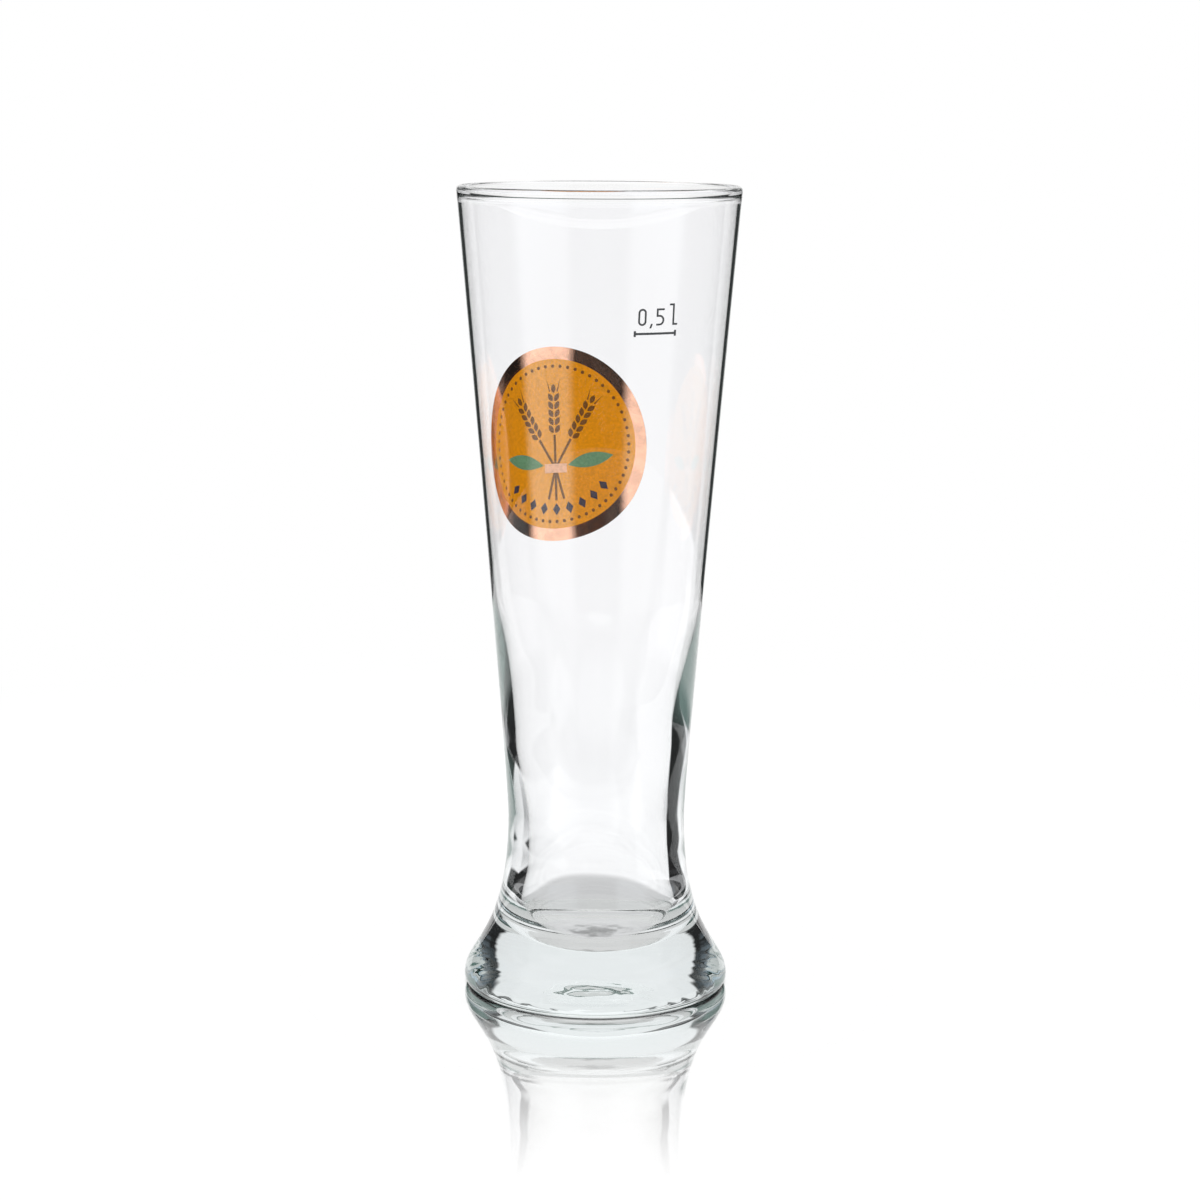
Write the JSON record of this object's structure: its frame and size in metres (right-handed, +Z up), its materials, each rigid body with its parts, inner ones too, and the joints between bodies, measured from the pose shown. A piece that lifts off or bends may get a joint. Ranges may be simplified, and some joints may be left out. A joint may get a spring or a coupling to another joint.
{
  "type": "weizen glass",
  "caption": "Tall, slim wheat-beer glass: flared mouth, narrow waist, heavy bulging foot, with a fired round badge and a fill line.",
  "frame": {"origin": "centre of the flat ring under the foot, on the table", "axes": "+Z up along the glass's axis; the fill mark is on the -Y side, 24.7 degrees towards +X, and the badge faces +Y, 22.9 degrees towards -X"},
  "size_m": [0.0846, 0.0846, 0.2435],
  "materials": {
    "glass": "clear, fire-polished",
    "copper_lustre": "bright metallic lustre",
    "amber_enamel": "glossy fired enamel",
    "brown_enamel": "glossy fired enamel",
    "green_enamel": "glossy fired enamel",
    "rose_enamel": "glossy fired enamel",
    "violet_enamel": "glossy fired enamel",
    "mark_enamel": "fired dark grey enamel"
  },
  "bodies": {
    "root": {"glass_body": "glass", "copper_ring": "copper_lustre", "amber_ground": "amber_enamel", "brown_dots": "brown_enamel", "brown_ears": "brown_enamel", "brown_stalks": "brown_enamel", "green_leaves": "green_enamel", "rose_ribbon": "rose_enamel", "violet_lozenges": "violet_enamel", "fill_line": "mark_enamel", "fill_figures": "mark_enamel"}
  },
  "joints": []
}
